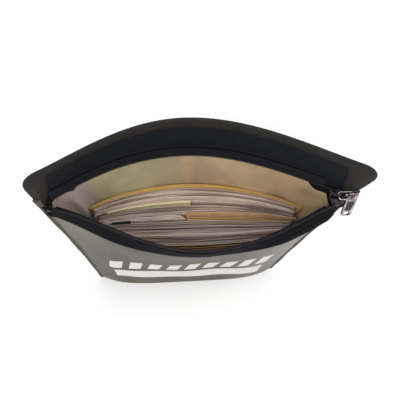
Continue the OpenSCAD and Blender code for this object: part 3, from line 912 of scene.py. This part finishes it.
def pullRing():  # a round wire carried along a rectangle with round corners
    lo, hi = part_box("pull_ring")
    r, bend = ringWire["radius"], ringWire["bend"]
    halfX, halfY = (hi.x - lo.x) / 2 - r - bend, (hi.y - lo.y) / 2 - r - bend
    centre = (lo + hi) / 2
    a = np.linspace(0, np.pi / 2, ringWire["segments"])
    corners = [(1, 1, 0), (-1, 1, 1), (-1, -1, 2), (1, -1, 3)]
    x = np.concatenate([cx * halfX + bend * np.cos(a + k * np.pi / 2) for cx, cy, k in corners])
    y = np.concatenate([cy * halfY + bend * np.sin(a + k * np.pi / 2) for cx, cy, k in corners])
    path = place(centre.x + x, centre.y + y, centre.z)
    t = np.roll(path, -1, axis=0) - np.roll(path, 1, axis=0)
    t /= np.linalg.norm(t, axis=1, keepdims=True)
    side = np.cross(t, [0, 0, 1.0])
    b = np.arange(ringWire["sides"]) / ringWire["sides"] * 2 * np.pi
    spoke = np.cos(b)[:, None] * side[:, None] + np.sin(b)[:, None] * np.array([0, 0, 1.0])
    piece = tube("pullRing", (path[:, None] + r * spoke)[:, ::-1], closedPath=True)
    return give(piece, finishes["pull"], "ring", ["pull_ring"])


pullRing()
print("slider and pull made")


# print on the front panel

prints = {"stand": 0.00063, "thickness": 0.00012, "half": 0.093, "shift": -0.001, "stripLow": 0.042,
          "stripHigh": 0.076, "bars": 9, "barLow": 0.088, "barHigh": 0.122, "rowLeft": -0.098,
          "rowWidth": 0.198, "slant": 0.005, "fall": 0.07}


def patchOnFront(x0, x1, z0, z1, slant, columns, rows=10):
    x, z = np.meshgrid(np.linspace(x0, x1, columns), np.linspace(z0, z1, rows))
    x = x + slant * (z - z0) / (z1 - z0)
    z = z - prints["fall"] * (x + prints["half"])
    return frontSkin(x / seamX(z), z)


def frontPrint():  # patches of the front skin: one long strip and a row of bars
    low, high = prints["stripLow"], prints["stripHigh"]
    strip = patchOnFront(prints["shift"] - prints["half"], prints["shift"] + prints["half"], low, high, 0.0, 90)
    give(shell("writeOnStrip", strip, prints["thickness"], prints["stand"]), finishes["print"],
         "front_lip", ["write_on_strip"])
    pitch = prints["rowWidth"] / prints["bars"]
    grids = []
    for k in range(prints["bars"]):
        x = prints["rowLeft"] + k * pitch
        grids.append(patchOnFront(x, x + pitch * 0.62, prints["barLow"], prints["barHigh"], prints["slant"], 8))
    n = [normalsOf(g) for g in grids]
    points = np.stack([np.stack([g + m * (prints["stand"] + prints["thickness"]), g + m * prints["stand"]])
                       for g, m in zip(grids, n)])
    faces = [f for k in range(len(grids)) for f in shellFaces(10, 8, k * 160)]
    give(addMesh("printedBars", points, faces), finishes["print"], "front_lip", ["printed_bars"])


frontPrint()
print("print made")


# contents

contents = {"floor": 0.0020, "rows": 12, "columns": 40}


def sheetGrid(s, x0, x1, top, curl=0.0, tilt=0.0, low=None, columns=None, wave=0.0, phase=0.0, spread=0.0):
    # one sheet of the contents: layer s from the floor to a top edge that droops, tilts and waves
    low = contents["floor"] if low is None else low
    a, v = np.meshgrid(np.linspace(0, 1, columns or contents["columns"]),
                       np.linspace(0, 1, contents["rows"]) ** 0.7)
    x = x0 + (x1 - x0) * a
    height = top - tilt * a ** 2 - wave * np.sin(7 * a + phase) ** 2
    z = low + (height - low) * v
    points = leaf(s + spread * (1 - a) ** 2, x, z)
    points[..., 1] += curl * v ** 3 * np.sin(2.6 * a + phase)
    return points


def bundle(name, layers, thickness, material, node, tones):
    # several sheets in one mesh, each a closed shell
    shells, faces, tone = [], [], []
    for k, points in enumerate(layers):
        r, c = points.shape[:2]
        n = normalsOf(points)
        shells.append(np.stack([points + n * thickness / 2, points - n * thickness / 2]).reshape(-1, 3))
        faces += shellFaces(r, c, 2 * r * c * k)
        tone.append(np.full(2 * r * c, tones[k]))
    piece = addMesh(name, np.concatenate(shells), faces, tone=np.concatenate(tone))
    give(piece, material, "contents", [node] if node else [])
    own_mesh(piece)
    return piece


def stackLayers(s0, s1, x0, x1, top, count, tilt, spread, fall):
    # sheets from s0 to s1, each a little out of line, their tops falling towards s0
    layers = []
    for k, s in enumerate(np.linspace(s0, s1, count)):
        jitter = dice.uniform(-1, 1, 5)
        height = top - fall * (1 - k / (count - 1)) - 0.002 * abs(jitter[3])
        layers.append(sheetGrid(s + 0.25 * (s1 - s0) / count * jitter[0], x0 + spread * jitter[1],
                                x1 + spread * jitter[2], height, 0.0004 * jitter[4],
                                tilt * (1 + 0.3 * jitter[0]), wave=0.0015, phase=3 * jitter[2]))
    return layers


def stack(name, s0, s1, x0, x1, top, count, tilt, node, fall=0.003, thickness=0.0005):
    layers = stackLayers(s0, s1, x0, x1, top, count, tilt, 0.003, fall)
    return bundle(name, layers, thickness, finishes["paper"], node, dice.uniform(0.0, 1, count))


stack("paperStackBack", 0.62, 0.948, -0.098, 0.101, 0.192, 18, 0.006, "paper_stack_back", 0.004)
stack("paperStackMiddle", 0.345, 0.54, -0.096, 0.102, 0.186, 11, 0.008, "paper_stack_middle", 0.004)
stack("paperStackFront", -0.49, 0.15, -0.090, 0.096, 0.181, 22, 0.006, "paper_stack_front", 0.013)
stack("paperStackLeft", 0.235, 0.33, -0.092, -0.013, 0.183, 7, 0.002, None, 0.003)
bundle("foldedSheet", [sheetGrid(s, -0.078, 0.090, 0.164, tilt=0.005) for s in (-0.54, -0.60, -0.66)], 0.0006,
       finishes["paper"], "folded_sheet", [0.9, 0.6, 0.8])
bundle("backEnvelope", [sheetGrid(s, -0.103, 0.108, top, tilt=0.005, wave=0.0006, spread=spread)
                        for s, top, spread in ((0.992, 0.1935, 0), (0.978, 0.193, -0.02))], 0.0006,
       finishes["manila"], "back_envelope", [0.7, 0.4])
bundle("backEnvelopeFlap", [sheetGrid(0.966, -0.101, 0.107, 0.1925, tilt=0.005, low=0.141, spread=-0.03)],
       0.0005, finishes["manila"], "back_envelope_flap", [0.9])
bundle("middleEnvelope", [sheetGrid(s, -0.010, 0.101, top, tilt=0.008, curl=0.0006)
                          for s, top in ((0.322, 0.184), (0.304, 0.1835), (0.286, 0.183), (0.262, 0.182),
                                         (0.235, 0.180), (0.205, 0.178))], 0.0008,
       finishes["orangeManila"], "middle_envelope", [0.3, 0.0, 0.15, 0.0, 0.1, 0.3])
bundle("frontEnvelope", [sheetGrid(s, -0.070, 0.084, top, tilt=0.004)
                         for s, top in ((-0.76, 0.160), (-0.84, 0.157), (-0.95, 0.156))], 0.0007,
       finishes["manila"], "front_envelope", [0.3, 0.1, 0.4])
bundle("depositSlip", [sheetGrid(s, -0.088, -0.006, 0.189, low=0.06, columns=20, spread=-0.03)
                       for s in (0.556, 0.568, 0.580, 0.592)], 0.0008,
       finishes["slip"], "deposit_slip", [1.0, 0.9, 1.0, 0.8])
bundle("moneyClip", [sheetGrid(s, -0.084, -0.066, 0.181, low=0.143, columns=8) for s in (0.225, 0.165)], 0.0012,
       finishes["clip"], "money_clip", [0, 0])
print("contents made")


# floor, light and camera

studio = {"floorSize": 3.0, "worldStrength": 0.92, "keyPlace": (-0.5, -0.5, 1.2), "keySize": 0.7, "keyPower": 5,
          "fillPlace": (0.7, 0.1, 0.9), "fillSize": 0.6, "fillPower": 1.5, "aim": (0, 0.02, 0.2),
          "display": "Standard"}


def studioFloor():
    half = studio["floorSize"] / 2
    x, y = np.meshgrid(np.linspace(-half, half, 3), np.linspace(-half, half, 3))
    floor = addMesh("floor", place(x, y, -0.0002), [quads(3, 3)])
    f = Finish("floor")
    grain = f.noise(f.objectPoint(), 30, 2)
    floor.data.materials.append(f.done(f.mix(grain, (0.96, 0.96, 0.96, 1), (0.98, 0.98, 0.98, 1)), 0.8))


def addLight(name, spot, target, size, power):
    data = bpy.data.lights.new(name, "AREA")
    data.shape, data.size, data.energy = "DISK", size, power
    light = bpy.data.objects.new(name, data)
    light.location = spot
    light.rotation_euler = (Vector(target) - Vector(spot)).to_track_quat("-Z", "Y").to_euler()
    bpy.context.scene.collection.objects.link(light)


def studioLight():
    world = bpy.data.worlds.new("studio")
    bpy.context.scene.world = world
    world.use_nodes = True
    back = world.node_tree.nodes["Background"]
    back.inputs[0].default_value, back.inputs[1].default_value = (1, 1, 1, 1), studio["worldStrength"]
    addLight("key", studio["keyPlace"], studio["aim"], studio["keySize"], studio["keyPower"])
    addLight("fill", studio["fillPlace"], studio["aim"], studio["fillSize"], studio["fillPower"])


view = {"place": (-0.03551, -0.08596, 0.55465), "down": 69.95, "yaw": 17.04, "roll": 14.29, "lens": 34.89}


def addCamera():
    # forward from yaw and pitch; the picture's right and up axes turned by the roll
    e, yaw, r = (math.radians(view[k]) for k in ("down", "yaw", "roll"))
    ahead = Vector((math.sin(yaw) * math.cos(e), math.cos(yaw) * math.cos(e), -math.sin(e)))
    right = Vector((math.cos(yaw), -math.sin(yaw), 0))
    up = right.cross(ahead)
    across = right * math.cos(r) + up * math.sin(r)
    above = up * math.cos(r) - right * math.sin(r)
    data = bpy.data.cameras.new("camera")
    data.lens, data.sensor_width, data.clip_start = view["lens"], 36, 0.01
    camera = bpy.data.objects.new("camera", data)
    camera.matrix_world = Matrix((across, above, -ahead)).transposed().to_4x4()
    camera.location = view["place"]
    bpy.context.scene.collection.objects.link(camera)
    bpy.context.scene.camera = camera


studioFloor()
studioLight()
addCamera()
bpy.context.scene.view_settings.view_transform = studio["display"]
print("studio made")
